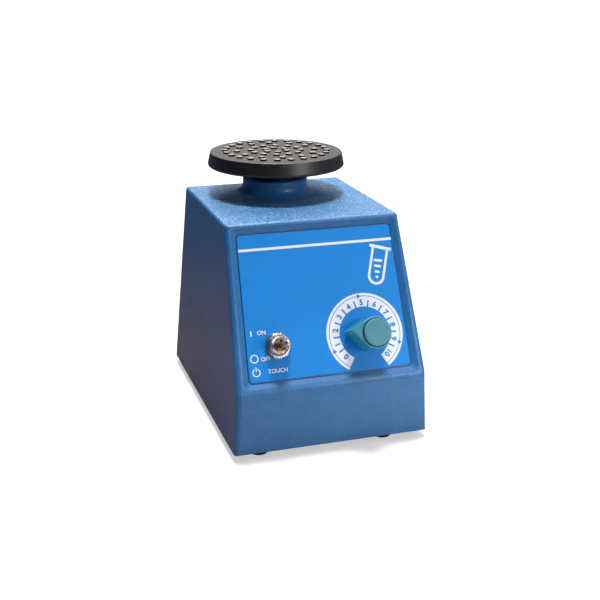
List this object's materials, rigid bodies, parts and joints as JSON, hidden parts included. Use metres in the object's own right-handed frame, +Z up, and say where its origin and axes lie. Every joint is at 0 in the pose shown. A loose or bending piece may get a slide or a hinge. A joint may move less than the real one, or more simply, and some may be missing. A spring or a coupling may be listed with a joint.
{
  "type": "vortex mixer",
  "caption": "Laboratory vortex mixer: sloped blue housing on rubber feet, speed knob and toggle on a printed panel, round rubber-covered platform on a sprung motor.",
  "frame": {"origin": "on the standing surface, under the middle of the whole mixer", "axes": "+Z up, +X to the right of a user who faces the control panel, +Y from the panel to the back"},
  "size_m": [0.124, 0.1843, 0.1624],
  "materials": {
    "housing_paint": "hammered blue enamel on a cast housing",
    "steel": "zinc-plated sheet and turned steel",
    "rubber": "matt black moulded rubber",
    "cover_rubber": "black rubber with a dusty top",
    "screw_steel": "zinc-plated screws and nuts",
    "panel_print": "satin blue printed plate with pale lettering",
    "knob_teal": "satin teal moulded plastic",
    "cap_teal": "fine-textured teal plastic",
    "nickel": "nickel plate",
    "phenolic": "black phenolic moulding",
    "pot_brown": "brown phenolic and tin plate",
    "hub_black": "black glass-filled nylon",
    "aluminium": "cast and turned aluminium",
    "bearing_steel": "ground bearing steel",
    "brass": "turned brass",
    "lamination": "varnished laminated steel",
    "copper": "enamelled copper wire",
    "board_green": "green circuit board",
    "component_black": "black epoxy",
    "film_yellow": "yellow film capacitor",
    "terminal_green": "green terminal block",
    "inlet_black": "black nylon",
    "wire_cover": "wire insulation",
    "nylon_white": "white nylon"
  },
  "bodies": {
    "root": {"housing": "housing_paint", "base_plate": "steel", "rubber_feet": "rubber", "foot_screws": "screw_steel", "foot_nuts": "screw_steel", "base_screws": "screw_steel", "panel_plate": "panel_print", "pot_body": "pot_brown", "pot_nut": "screw_steel", "switch_body": "phenolic", "switch_bushing": "nickel", "switch_nut": "nickel", "switch_washer": "nickel", "dust_boot": "rubber", "guide_posts": "steel", "post_stops": "steel", "return_springs": "steel", "wiring": "wire_cover", "micro_switch": "component_black", "micro_bracket": "steel", "control_board": "board_green", "board_standoffs": "nylon_white", "heat_sink": "aluminium", "triac": "component_black", "capacitor": "film_yellow", "terminal_block": "terminal_green", "power_inlet": "inlet_black", "inlet_pins": "brass", "inlet_screws": "screw_steel", "fuse_holder": "inlet_black"},
    "motor": {"motor_bearing_outers": "bearing_steel", "lower_bell": "aluminium", "upper_bell": "aluminium", "stator_core": "lamination", "stator_windings": "copper", "motor_bolts": "screw_steel", "motor_nuts": "screw_steel", "motor_bracket": "steel", "bracket_bushes": "rubber"},
    "rotor": {"head_bearing_inners": "bearing_steel", "bearing_spacer": "steel", "head_screw": "screw_steel", "eccentric": "steel", "eccentric_screw": "component_black", "counterweight": "brass", "motor_shaft": "bearing_steel", "rotor_core": "lamination", "cooling_fan": "component_black", "motor_bearing_inners": "bearing_steel"},
    "head": {"rubber_cover": "cover_rubber", "platform_plate": "aluminium", "platform_hub": "hub_black", "plate_screws": "screw_steel", "head_bearing_outers": "bearing_steel", "hub_circlip": "steel"},
    "knob": {"speed_knob": "knob_teal", "knob_cap": "cap_teal", "pot_shaft": "nickel"},
    "lever": {"switch_lever": "nickel"},
    "plunger": {"micro_plunger": "wire_cover"}
  },
  "joints": [
    {"name": "head_press", "type": "slide", "parent": "root", "child": "motor", "axis": [0, 0, -1], "range_m": [0, 0.002], "stiffness_N_per_m": 4000, "springref_m": -0.0055, "deforming": ["return_springs", "dust_boot"]},
    {"name": "motor_spin", "type": "hinge", "parent": "motor", "child": "rotor", "pos_m": [0, 0.04019, 0.06], "axis": [0, 0, 1], "continuous": true, "deforming": ["dust_boot"]},
    {"name": "head_orbit", "type": "hinge", "parent": "rotor", "child": "head", "pos_m": [0, 0.03794, 0.14], "axis": [0, 0, 1], "continuous": true, "deforming": ["dust_boot"]},
    {"name": "speed_dial", "type": "hinge", "parent": "root", "child": "knob", "pos_m": [0.0256, -0.07063, 0.06789], "axis": [0, -0.9116, 0.4112], "range_deg": [-213.5, 53.5]},
    {"name": "power_toggle", "type": "hinge", "parent": "root", "child": "lever", "pos_m": [-0.0316, -0.07242, 0.06782], "axis": [1, 0, 0], "range_deg": [-12, 12]},
    {"name": "touch_plunger", "type": "slide", "parent": "root", "child": "plunger", "axis": [0, 0, -1], "range_m": [0, 0.002]}
  ],
  "couplings": [
    {"joint": "head_orbit", "follows": "motor_spin", "ratio": -1},
    {"joint": "touch_plunger", "follows": "head_press", "ratio": 1}
  ]
}
